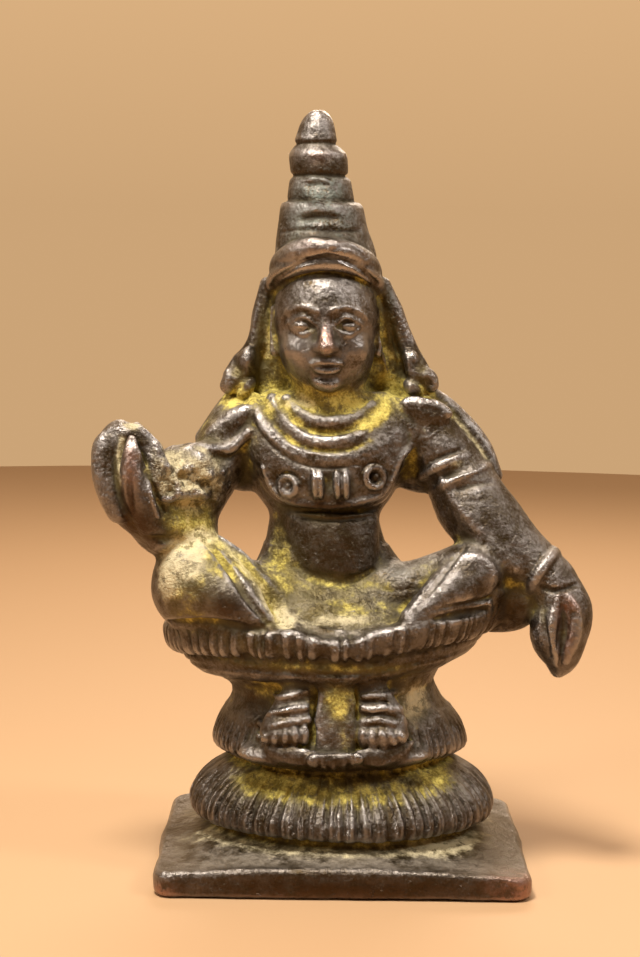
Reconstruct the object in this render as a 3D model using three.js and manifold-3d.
// A small bronze shrine figure: a seated deity in a tall ringed crown, on a lotus seat, a lotus
// footstool and a square plinth. It was cast in one piece, so it is one closed solid.
// Millimetres, +Z up. The figure faces -Y, and the origin is the middle of the plinth's underside.
// "Left" and "right" are the viewer's, who looks along +Y with +X to the right.
import * as THREE from "three";
import { mergeVertices } from "three/addons/utils/BufferGeometryUtils.js";
import Module from "manifold-3d";

const wasm = await Module();
wasm.setup();

// Driving sizes of the whole piece.
const HEIGHT = 100;
const PLINTH_WIDTH = 48.6;
const PLINTH_DEPTH = 39;
const PLINTH_THICKNESS = 3.9;
const SEAT_TOP = 33;
const CHIN = 63.5;
const HAIRLINE = 78.5;
const SHORTEST_EDGE = 0.3;

// The figure leans to the left above its seat, as its wax model did before it was cast.
const SEAT_MIDDLE_X = -0.4;
const CROWN_TIP_X = -4.2;
const leanAt = (z) =>
  SEAT_MIDDLE_X + ((CROWN_TIP_X - SEAT_MIDDLE_X) * Math.max(0, z - SEAT_TOP)) / (HEIGHT - SEAT_TOP);

const radians = THREE.MathUtils.degToRad;
const vector = ([x, y, z]) => new THREE.Vector3(x, y, z);
const SIDES = [-1, 1];

// A closed skin over rings with equal numbers of points, and a point that closes each end.
function skin(rings, firstPole, lastPole) {
  const sides = rings[0].length;
  const points = [firstPole, ...rings.flat(), lastPole];
  const at = (ring, side) => 1 + ring * sides + (side % sides);
  const lastRing = rings.length - 1;
  const corners = [];
  for (let side = 0; side < sides; side++) {
    corners.push(0, at(0, side + 1), at(0, side));
    for (let ring = 0; ring < lastRing; ring++) {
      const [low, lowNext] = [at(ring, side), at(ring, side + 1)];
      const [high, highNext] = [at(ring + 1, side), at(ring + 1, side + 1)];
      if (side % 2) corners.push(low, lowNext, highNext, low, highNext, high);
      else corners.push(low, lowNext, high, lowNext, highNext, high);
    }
    corners.push(points.length - 1, at(lastRing, side), at(lastRing, side + 1));
  }
  const geometry = new THREE.BufferGeometry().setFromPoints(points);
  geometry.setIndex(corners);
  return geometry;
}

// Ovals stacked along +Z. Each is [height, half-width, half-depth, middle X, middle Y, groove depth].
// Every second side of an oval with a groove depth is sunk by it, which cuts flutes round the stack.
function stack(ovals, sides) {
  const rings = ovals.map(([z, halfWidth, halfDepth, x = 0, y = 0, groove = 0]) =>
    Array.from({ length: sides }, (_, side) => {
      const angle = (2 * Math.PI * side) / sides;
      const sunk = side % 2 ? groove : 0;
      return new THREE.Vector3(
        x + (halfWidth - sunk) * Math.cos(angle),
        y + (halfDepth - sunk) * Math.sin(angle),
        z,
      );
    }),
  );
  const middle = ([z, , , x = 0, y = 0]) => new THREE.Vector3(x, y, z);
  return skin(rings, middle(ovals[0]), middle(ovals.at(-1)));
}

// A round-ended limb on a smooth curve through stations [x, y, z, radius]. Its depth is its
// radius times flat.
function limb(stations, { sides = 8, flat = 1, steps = 1 } = {}) {
  const curve = new THREE.CatmullRomCurve3(stations.map(vector), false, "centripetal");
  const spans = stations.length - 1;
  const rings = [];
  const ringAt = (t, along, share) => {
    const span = Math.min(Math.floor(t * spans), spans - 1);
    const radius = THREE.MathUtils.lerp(stations[span][3], stations[span + 1][3], t * spans - span);
    const tangent = curve.getTangent(t);
    const middle = curve.getPoint(t).addScaledVector(tangent, along * radius);
    const reference = new THREE.Vector3(0, 1, 0);
    const deep = reference.addScaledVector(tangent, -tangent.y).normalize();
    const across = deep.clone().cross(tangent);
    return Array.from({ length: sides }, (_, side) => {
      const angle = (2 * Math.PI * side) / sides;
      return middle
        .clone()
        .addScaledVector(across, share * radius * Math.cos(angle))
        .addScaledVector(deep, share * flat * radius * Math.sin(angle));
    });
  };
  const slant = Math.SQRT1_2;
  rings.push(ringAt(0, -slant, slant));
  for (let step = 0; step <= spans * steps; step++) {
    rings.push(ringAt(step / (spans * steps), 0, 1));
  }
  rings.push(ringAt(1, slant, slant));
  const endPole = (t, along, station) =>
    curve.getPoint(t).addScaledVector(curve.getTangent(t), along * station[3]);
  return skin(rings, endPole(0, -1, stations[0]), endPole(1, 1, stations.at(-1)));
}

// The four stations of a raised band round a limb, from its first edge to its last.
function band(first, last) {
  const raise = 0.5;
  const between = (share) =>
    first.map((value, index) =>
      THREE.MathUtils.lerp(value, last[index], share) + (index === 3 ? raise : 0),
    );
  return [first, between(0.2), between(0.8), last];
}

// Moves a shape that was made round the origin to its place, turned in degrees about X, Y and Z.
function placed(geometry, middle, turn = [0, 0, 0]) {
  const rotation = new THREE.Euler(...turn.map(radians));
  return geometry.applyMatrix4(
    new THREE.Matrix4().makeRotationFromEuler(rotation).setPosition(vector(middle)),
  );
}

// An egg-shaped lump.
function lump(middle, halfAxes, turn, sides = 8) {
  const ball = new THREE.SphereGeometry(1, sides, Math.round(sides * 0.6));
  return placed(ball.scale(...halfAxes), middle, turn);
}

// A ring of round section, flat in its own XY plane before it is turned.
function hoop(middle, halfWidth, halfDepth, thickness, turn, sides = 16) {
  const ring = new THREE.TorusGeometry(1, thickness / halfWidth, 4, sides);
  return placed(ring.scale(halfWidth, halfDepth, halfWidth), middle, turn);
}

// The plinth is a thick square tablet with worn edges and corners.
function plinth() {
  const middleX = 0.6;
  const middleY = -0.5;
  const cornerRadius = 2.4;
  const wear = 0.6;
  const half = PLINTH_WIDTH / 2 - wear;
  const halfDepth = PLINTH_DEPTH / 2 - wear;
  const corners = [
    [-half, -halfDepth],
    [half, -halfDepth],
    [half, halfDepth],
    [-half, halfDepth],
  ].map(([x, y]) => new THREE.Vector2(middleX + x, middleY + y));
  const outline = new THREE.Shape();
  corners.forEach((corner, index) => {
    const before = corners[(index + 3) % 4];
    const after = corners[(index + 1) % 4];
    const start = corner.clone().add(before.clone().sub(corner).setLength(cornerRadius));
    const end = corner.clone().add(after.clone().sub(corner).setLength(cornerRadius));
    if (index) outline.lineTo(start.x, start.y);
    else outline.moveTo(start.x, start.y);
    outline.quadraticCurveTo(corner.x, corner.y, end.x, end.y);
  });
  const tablet = new THREE.ExtrudeGeometry(outline, {
    depth: PLINTH_THICKNESS - 2 * wear,
    bevelThickness: wear,
    bevelSize: wear,
    bevelSegments: 1,
    curveSegments: 2,
  }).translate(0, 0, wear);
  const swell = lump([0.5, 0, PLINTH_THICKNESS - 0.4], [21.8, 17.2, 1.1], undefined, 14);
  return [tablet, swell];
}

// The lower lotus is a cushion of narrow petals that point down, over a plain foot.
function lowerLotus() {
  const petals = 38;
  const x = 0.5;
  const cushion = [
    [3.2, 17.6, 14.2, x],
    [6.4, 18.0, 14.6, x],
    [6.9, 19.7, 15.8, x, 0, 0.9],
    [8.7, 20.6, 16.5, x, 0, 0.8],
    [12.2, 18.7, 14.7, x, 0, 0.5],
    [14.6, 13.8, 10.6, x],
  ];
  return [stack(cushion, 2 * petals)];
}

// The footstool is a second, smaller lotus. Its petals show on the rim, and above them its
// smooth neck rises into the seat.
function footstool() {
  const petals = 34;
  const rim = [
    [13.4, 13.2, 10.1, 0.1],
    [15.0, 16.3, 12.3, 0.1, 0, 0.7],
    [16.9, 17.1, 12.9, 0.1, 0, 0.6],
    [19.0, 16.5, 12.3, 0.1, 0, 0.3],
    [20.2, 15.5, 11.8, 0],
  ];
  const neck = [
    [18.0, 15.9, 12.1, 0],
    [20.4, 15.5, 11.8, 0],
    [22.2, 14.2, 11.2, -0.4],
    [24.6, 13.3, 10.8, -0.7],
    [26.5, 13.8, 10.9, -0.6],
  ];
  return [stack(rim, 2 * petals), stack(neck, 18)];
}

// The seat flares out from the neck in two steps to a band of short upright petals. Its right end
// rises with the knee above it.
function seat() {
  const petals = 46;
  const rise = 3.3;
  const underside = [
    [23.8, 13.5, 10.7, -0.7],
    [25.4, 15.2, 11.4, -0.8],
    [27.0, 17.9, 12.5, -0.9],
    [28.2, 20.0, 13.1, -0.9],
    [28.7, 20.2, 12.8, -0.9],
    [30.2, 22.0, 13.6, -0.7],
    [32.2, 22.4, 13.8, -0.5],
  ];
  const band = [
    [29.2, 21.6, 13.4, -0.6],
    [30.0, 22.6, 14.2, -0.6, 0, 0.5],
    [32.2, 23.3, 14.6, -0.4, 0, 0.5],
    [33.4, 22.6, 13.9, -0.4],
  ];
  const raiseRightEnd = (geometry) => {
    const place = geometry.getAttribute("position");
    for (let index = 0; index < place.count; index++) {
      const outward = Math.max(0, place.getX(index)) / 22;
      place.setZ(index, place.getZ(index) + rise * outward ** 2);
    }
    return geometry;
  };
  return [stack(underside, 24), stack(band, 2 * petals)].map(raiseRightEnd);
}

// Two small feet rest on a ledge of the footstool, on each side of a hanging strap.
function feet() {
  const middleX = -0.7;
  const strap = new THREE.BoxGeometry(5.4, 3, 9.6, 1, 1, 1);
  const shapes = [
    placed(strap, [middleX, -11.2, 21.6], [-9, 0, 0]),
    lump([middleX, -10.8, 17.4], [11.3, 4.0, 1.1], [4, 0, 0], 12),
  ];
  for (const side of SIDES) {
    const place = (outward, y, z, radius) => [middleX + side * outward, y, z, radius];
    const instep = [
      place(4.4, -10.4, 25.2, 2.2),
      place(5.2, -11.4, 22.6, 2.6),
      place(6.4, -12.2, 20.4, 3.0),
    ];
    shapes.push(limb(instep, { flat: 0.6, sides: 6 }));
    const anklet = [place(2.6, -12.6, 23.4, 0.75), place(8.2, -12.0, 22.7, 0.65)];
    shapes.push(limb(anklet, { sides: 5 }));
    const toes = 5;
    for (let toe = 0; toe < toes; toe++) {
      const outward = 3.5 + 1.5 * toe;
      const length = 1.25 - 0.1 * toe;
      shapes.push(
        lump(
          [middleX + side * outward, -13.2 + 0.25 * toe, 19.2 + 0.08 * toe],
          [0.85, 1.3, length],
          [0, -10 * side, 0],
          5,
        ),
      );
    }
  }
  return shapes;
}

// The crossed legs spread from the lap to two knees. The left knee is the rounder one.
function legs() {
  const lap = [
    [31.5, 18.5, 12.4, 0.2, -0.6],
    [34.0, 16.8, 12.0, 0.1, -0.8],
    [36.2, 14.2, 10.4, -0.1, -0.8],
    [38.4, 11.8, 8.4, -0.4, -0.4],
    [40.6, 9.8, 6.4, -0.8, 0],
    [42.5, 8.3, 5.2, -1.0, 0],
  ];
  const leftThigh = [
    [-6, -2.5, 36.0, 4.0],
    [-12.0, -4.2, 36.8, 4.3],
    [-18.0, -5.4, 38.6, 5.0],
  ];
  const leftShin = [
    [-18.0, -6.0, 38.2, 6.0],
    [-13.4, -8.8, 36.0, 4.2],
    [-7.6, -11.4, 33.8, 1.8],
  ];
  const rightThigh = [
    [5, -2.5, 36.2, 3.8],
    [12.0, -4.0, 37.6, 3.9],
    [18.8, -4.6, 41.0, 3.6],
  ];
  const rightShin = [
    [18.6, -5.8, 40.4, 3.6],
    [14.6, -8.6, 37.8, 3.0],
    [9.4, -11.4, 34.8, 1.5],
  ];
  const rightCalf = [
    [20.0, -5.0, 38.0, 2.6],
    [14.2, -8.2, 35.8, 2.2],
  ];
  return [
    stack(lap, 14),
    limb(leftThigh),
    limb(leftShin, { sides: 9 }),
    lump([-19.2, -5.2, 36.0], [5.0, 5.4, 4.8], undefined, 8),
    limb(rightThigh),
    limb(rightShin),
    limb(rightCalf, { sides: 7 }),
  ];
}

// The body narrows to the waist and opens to broad shoulders. A raised bodice covers the chest.
function torso() {
  const body = [
    [38.0, 9.8, 6.2, -0.8, 0.2],
    [41.4, 8.4, 5.2, -1.1, 0.2],
    [44.6, 7.6, 4.7, -1.2, 0.2],
    [46.8, 7.5, 4.7, -1.2, 0.2],
    [49.2, 9.0, 5.1, -1.1, 0.2],
    [52.0, 10.4, 5.6, -0.8, 0.1],
    [55.5, 12.2, 5.9, -0.4, 0.1],
    [59.0, 12.9, 5.6, 0, 0.3],
    [61.4, 11.2, 5.0, 0.2, 0.5],
    [63.2, 8.0, 4.3, 0.1, 0.7],
  ];
  const bodice = [
    [48.2, 5.8, 3.0, -0.8, -2.6],
    [49.4, 7.6, 3.9, -0.8, -2.6],
    [51.8, 9.2, 4.6, -0.7, -2.6],
    [55.0, 10.6, 5.0, -0.5, -2.2],
    [58.4, 11.4, 4.7, -0.1, -1.6],
    [61.2, 10.2, 4.0, 0, -0.8],
  ];
  const neck = [
    [0, 0.3, 60.5, 5.2],
    [0.1, 0, 66.5, 4.8],
  ];
  const armpits = [
    lump([-11.7, 0.2, 51.9], [3.4, 3.0, 2.5]),
    lump([12.3, 0, 52.2], [4.6, 3.0, 2.7]),
  ];
  return [stack(body, 18), stack(bodice, 16), limb(neck), ...armpits];
}

// Jewels lie on the bodice: three necklaces, two discs, two long beads and a pad on each shoulder.
function jewels() {
  const shapes = [];
  const necklaces = [
    { halfWidth: 5.6, top: 62.8, drop: 3.2, front: -6.3, radius: 0.95 },
    { halfWidth: 7.9, top: 62.4, drop: 5.0, front: -6.9, radius: 0.75 },
    { halfWidth: 10.0, top: 61.8, drop: 6.6, front: -7.3, radius: 0.75 },
  ];
  for (const { halfWidth, top, drop, front, radius } of necklaces) {
    const back = -1.6;
    const bow = [-1, -0.72, 0, 0.72, 1].map((share) => {
      const low = Math.sqrt(1 - share ** 2);
      return [share * halfWidth, back + (front - back) * low ** 0.8, top - drop * low, radius];
    });
    shapes.push(limb(bow, { sides: 6, steps: 3 }));
  }
  for (const [x, z] of [
    [-5.9, 51.3],
    [5.6, 52.4],
  ]) {
    const across = x > 0 ? 26 : -26;
    shapes.push(hoop([x, -6.4, z], 1.25, 1.25, 0.45, [90, 0, across], 8));
    shapes.push(lump([x, -6.3, z], [0.6, 0.8, 0.6], undefined, 5));
  }
  for (const x of [-1.7, 0.9]) {
    shapes.push(lump([x, -7.2, 51.5], [0.9, 0.75, 2.1], undefined, 6));
  }
  shapes.push(lump([11.6, -2.9, 61.6], [2.7, 1.5, 1.15], [0, 22, 0]));
  shapes.push(lump([-12.4, -2.9, 59.4], [2.6, 1.5, 1.2], [0, -48, 0]));
  return shapes;
}

// The left arm bends at the elbow over its knee, and the cupped hand stands up with its thumb in
// front. Heavy bracelets are fused to the arm between shoulder and hand.
function raisedArm() {
  const upperArm = [
    [-12.2, 0.6, 58.4, 3.8],
    [-15.2, -0.8, 53.4, 3.7],
    [-18.4, -2.4, 48.0, 3.6],
    [-19.6, -3.4, 44.4, 3.9],
  ];
  const forearm = [
    [-19.6, -3.6, 44.2, 4.2],
    [-22.8, -5.8, 46.0, 4.0],
    [-25.4, -7.4, 49.0, 3.0],
  ];
  const armlet = lump([-18.0, -3.0, 53.0], [3.2, 3.8, 3.3], [0, 30, 0]);
  const bracelet = lump([-20.7, -4.4, 51.3], [3.2, 3.4, 4.0], [0, 12, 0], 8);
  const palm = lump([-25.7, -7.8, 52.2], [4.9, 3.2, 7.9], [0, -9, 0], 12);
  const hollow = lump([-25.8, -10.8, 54.2], [2.9, 2.6, 6.0], [0, -8, 0], 8);
  const thumb = [
    [-25.2, -9.6, 45.8, 1.7],
    [-25.4, -11.2, 50.6, 1.4],
    [-25.4, -11.2, 54.4, 1.1],
    [-25.5, -10.6, 57.0, 0.5],
  ];
  return {
    joined: [
      limb(upperArm),
      limb(forearm),
      armlet,
      bracelet,
      limb(thumb, { sides: 7 }),
    ],
    hand: { palm, hollow },
  };
}

// The right arm runs straight down over its knee, and the hand hangs from the wrist with finger
// and thumb joined round a long slot. A web of metal fills the corner between arm and seat.
function loweredArm() {
  const arm = [
    [12.4, 0.4, 58.8, 4.0],
    ...band([14.6, -0.1, 55.4, 4.3], [15.4, -0.2, 54.2, 4.3]),
    ...band([16.2, -0.4, 53.0, 4.4], [17.0, -0.6, 51.8, 4.4]),
    [19.1, -1.6, 47.4, 5.3],
    [23.8, -3.0, 42.4, 4.7],
    ...band([27.0, -3.9, 40.2, 3.6], [27.8, -4.2, 39.4, 3.5]),
  ];
  const wrist = [
    [28.6, -4.4, 38.4, 3.8],
    [29.7, -5.2, 35.2, 3.9],
    [28.9, -5.7, 32.2, 4.0],
    [29.4, -5.9, 29.4, 2.5],
    [29.1, -6.0, 27.2, 1.2],
  ];
  const shapes = [
    limb(arm, { sides: 9 }),
    limb(wrist, { flat: 0.85 }),
    lump([20.6, -2.8, 36.4], [6.6, 2.6, 4.6], [0, 20, 0]),
    lump([24.4, -4.0, 36.6], [3.6, 2.3, 3.6], [0, -28, 0]),
  ];
  const slot = lump([29.4, -9.0, 33.4], [1.0, 1.6, 3.6], undefined, 7);
  return { shapes, slot };
}

// The head is an egg with a plain face, set out in thirds from hairline to brow, nose and chin.
function head() {
  const third = (HAIRLINE - CHIN) / 3;
  const brow = HAIRLINE - third;
  const noseBase = brow - third;
  const mouth = noseBase - third / 3;
  const eyeWidth = 2.9;
  const eyes = brow - 0.3 * third;
  const skull = lump([0, -0.6, 71.6], [7.2, 7.2, 8.2], undefined, 18);
  const nose = [
    [0, -7.3, brow - 0.6, 0.75],
    [0, -8.1, noseBase + 0.9, 1.25],
  ];
  const shapes = [
    skull,
    limb(nose, { sides: 6 }),
    lump([0, -6.0, mouth], [1.8, 1.1, 0.45], undefined, 6),
    lump([0, -5.8, mouth - 0.9], [1.4, 1.1, 0.5], undefined, 6),
    lump([0, -4.0, CHIN + 1.3], [2.3, 2.0, 1.3], undefined, 8),
  ];
  for (const side of SIDES) {
    shapes.push(lump([side * eyeWidth, -6.5, eyes], [0.5 * eyeWidth, 0.9, 0.75], undefined, 6));
    const browArch = [
      [side * 1.0, -7.2, brow - 0.2, 0.35],
      [side * eyeWidth, -6.9, brow + 0.6, 0.4],
      [side * 5.0, -5.3, brow - 0.5, 0.3],
    ];
    shapes.push(limb(browArch, { sides: 4 }));
    const ear = [
      [side * 7.0, -1.2, 74.8, 1.1],
      [side * 7.3, -1.2, 70.8, 1.2],
      [side * 7.2, -0.9, 66.2, 1.3],
    ];
    shapes.push(limb(ear, { sides: 6, flat: 1.2 }));
  }
  return shapes;
}

// The crown stands on two rolls that arch over the forehead. Above a tapering drum come two rings
// and a blunt tip.
function crown() {
  const profile = [
    [76.0, 7.5, 6.6, 0.3, 1.4],
    [80.6, 7.0, 6.9, 0.4, 0.6],
    [83.2, 6.4, 6.5, 0.2, 0.4],
    [84.6, 5.9, 5.9, 0.2, 0.5],
    [87.5, 5.4, 5.4, 0.2, 0.6],
    [88.1, 4.3, 4.4, 0.1, 0.7],
    [90.4, 4.4, 4.4, 0.1, 0.7],
    [91.8, 3.7, 3.6, 0, 0.8],
    [94.4, 3.9, 3.8, 0, 0.8],
    [95.9, 2.9, 2.9, 0, 0.9],
    [98.6, 2.0, 2.0, 0, 1.0],
    [HEIGHT - 0.2, 1.0, 1.0, 0, 1.0],
    [HEIGHT, 0.4, 0.4, 0, 1.0],
  ];
  const rollTilt = 25;
  return [
    stack(profile, 16),
    hoop([0.3, -0.1, 79.4], 6.3, 7.4, 1.15, [-rollTilt, 0, 0], 18),
    hoop([0.2, 0, 77.2], 6.9, 7.9, 1.0, [-rollTilt, 0, 0], 18),
  ];
}

// The hair hangs behind the face as a flat curtain with a heavy lock on each edge, and runs on as
// tresses behind the shoulders and down the back.
function hair() {
  const curtain = [
    [60.0, 12.2, 2.2, 0.4, 2.8],
    [64.5, 12.0, 2.4, 0.5, 2.6],
    [68.0, 10.6, 2.7, 0.5, 2.5],
    [72.0, 9.4, 3.2, 0.4, 2.4],
    [76.5, 8.0, 3.6, 0.3, 2.2],
  ];
  const backTress = [
    [0, 5.4, 75.0, 5.2],
    [0, 6.0, 68.0, 5.6],
    [0, 6.0, 59.0, 4.4],
    [0, 5.4, 50.5, 2.0],
  ];
  const leftTress = [
    [-12.0, 2.2, 62.4, 1.3],
    [-14.2, 2.0, 59.8, 1.3],
    [-16.8, 1.2, 56.6, 1.2],
  ];
  const rightTress = [
    [13.2, 2.2, 63.2, 1.2],
    [16.8, 1.8, 60.2, 1.2],
    [20.0, 1.2, 56.4, 1.3],
    [21.9, 0.6, 52.2, 1.0],
  ];
  const shapes = [
    stack(curtain, 12),
    lump([0.3, 2.2, 72.6], [7.9, 5.9, 7.6], undefined, 12),
    limb(backTress, { flat: 0.4 }),
    limb(leftTress, { sides: 6 }),
    limb(rightTress, { sides: 6 }),
  ];
  const locks = [
    [-7.5, -8.5, -9.3, -11.9],
    [7.9, 9.4, 10.7, 12.6],
  ];
  const lockHeights = [77.2, 73.3, 69.4, 64.6];
  const lockRadii = [1.0, 1.2, 1.3, 2.1];
  for (const lock of locks) {
    const stations = lock.map((x, index) => [x, 1.1, lockHeights[index], lockRadii[index]]);
    shapes.push(limb(stations, { sides: 7 }));
  }
  return shapes;
}

// A closed geometry as a solid that can be joined and cut.
function solidOf(geometry) {
  const bare = geometry.index ? geometry.clone() : geometry;
  for (const name of ["normal", "uv"]) {
    bare.deleteAttribute(name);
  }
  const merged = mergeVertices(bare, 1e-4);
  return new wasm.Manifold(
    new wasm.Mesh({
      numProp: 3,
      vertProperties: new Float32Array(merged.attributes.position.array),
      triVerts: new Uint32Array(merged.index.array),
    }),
  );
}

// A shape of the upright figure, moved to the left by the lean at each height.
function leaning(geometry) {
  const place = geometry.getAttribute("position");
  for (let index = 0; index < place.count; index++) {
    place.setX(index, place.getX(index) + leanAt(place.getZ(index)));
  }
  return geometry;
}

const join = (solids) => solids.reduce((whole, solid) => whole.add(solid));

// Joining leaves slivers where two surfaces cross. This takes out every edge that is shorter than
// a limit by moving one of its ends onto the other, wherever the skin stays closed and no face
// turns over.
function withoutShortEdges(surface, limit) {
  const places = [];
  for (let index = 0; index < surface.vertProperties.length; index += 3) {
    places.push(new THREE.Vector3().fromArray(surface.vertProperties, index));
  }
  const faces = [];
  for (let index = 0; index < surface.triVerts.length; index += 3) {
    faces.push([...surface.triVerts.slice(index, index + 3)]);
  }
  const facesAt = places.map(() => new Set());
  faces.forEach((face, index) => face.forEach((corner) => facesAt[corner].add(index)));
  const neighbours = (corner) =>
    new Set([...facesAt[corner]].flatMap((face) => faces[face]).filter((other) => other !== corner));
  const normalOf = ([a, b, c]) => b.clone().sub(a).cross(c.clone().sub(a));

  const canMove = (from, to) => {
    const near = neighbours(from);
    const shared = [...near].filter((corner) => neighbours(to).has(corner));
    if (!near.has(to) || shared.length !== 2) return false;
    return [...facesAt[from]].every((index) => {
      const face = faces[index];
      if (face.includes(to)) return true;
      const before = normalOf(face.map((corner) => places[corner]));
      const after = normalOf(face.map((corner) => places[corner === from ? to : corner]));
      if (after.length() < 1e-7) return false;
      return before.length() < 1e-4 || before.normalize().dot(after.normalize()) > 0.5;
    });
  };
  const move = (from, to) => {
    for (const index of [...facesAt[from]]) {
      const face = faces[index];
      if (face.includes(to)) {
        face.forEach((corner) => facesAt[corner].delete(index));
        faces[index] = null;
      } else {
        faces[index] = face.map((corner) => (corner === from ? to : corner));
        facesAt[to].add(index);
      }
    }
    facesAt[from].clear();
  };

  let moved = true;
  while (moved) {
    moved = false;
    const shortEdges = [];
    for (const face of faces.filter(Boolean)) {
      face.forEach((start, index) => {
        const end = face[(index + 1) % 3];
        const length = places[start].distanceTo(places[end]);
        if (start < end && length < limit) shortEdges.push({ start, end, length });
      });
    }
    shortEdges.sort((one, other) => one.length - other.length);
    for (const { start, end } of shortEdges) {
      if (canMove(start, end)) {
        move(start, end);
        moved = true;
      } else if (canMove(end, start)) {
        move(end, start);
        moved = true;
      }
    }
  }
  const corners = faces.filter(Boolean).flat();
  return { points: corners.map((corner) => places[corner]) };
}

const raised = raisedArm();
const lowered = loweredArm();
const cuppedHand = solidOf(leaning(raised.hand.palm)).subtract(solidOf(leaning(raised.hand.hollow)));
const pedestal = [...plinth(), ...lowerLotus(), ...footstool(), ...seat(), ...feet()];
const figure = [
  ...legs(),
  ...torso(),
  ...jewels(),
  ...raised.joined,
  ...lowered.shapes,
  ...head(),
  ...crown(),
  ...hair(),
].map(leaning);
const casting = join([cuppedHand, ...pedestal.map(solidOf), ...figure.map(solidOf)]).subtract(
  solidOf(leaning(lowered.slot)),
);

const { points } = withoutShortEdges(casting.getMesh(), SHORTEST_EDGE);
const geometry = mergeVertices(new THREE.BufferGeometry().setFromPoints(points), 1e-5);
geometry.computeVertexNormals();

const bronze = new THREE.MeshStandardMaterial({ color: 0x3a2f26, roughness: 0.42, metalness: 0.9 });
const statue = new THREE.Mesh(geometry, bronze);
statue.name = "statue";

const group = new THREE.Group();
group.add(statue);

export default group;
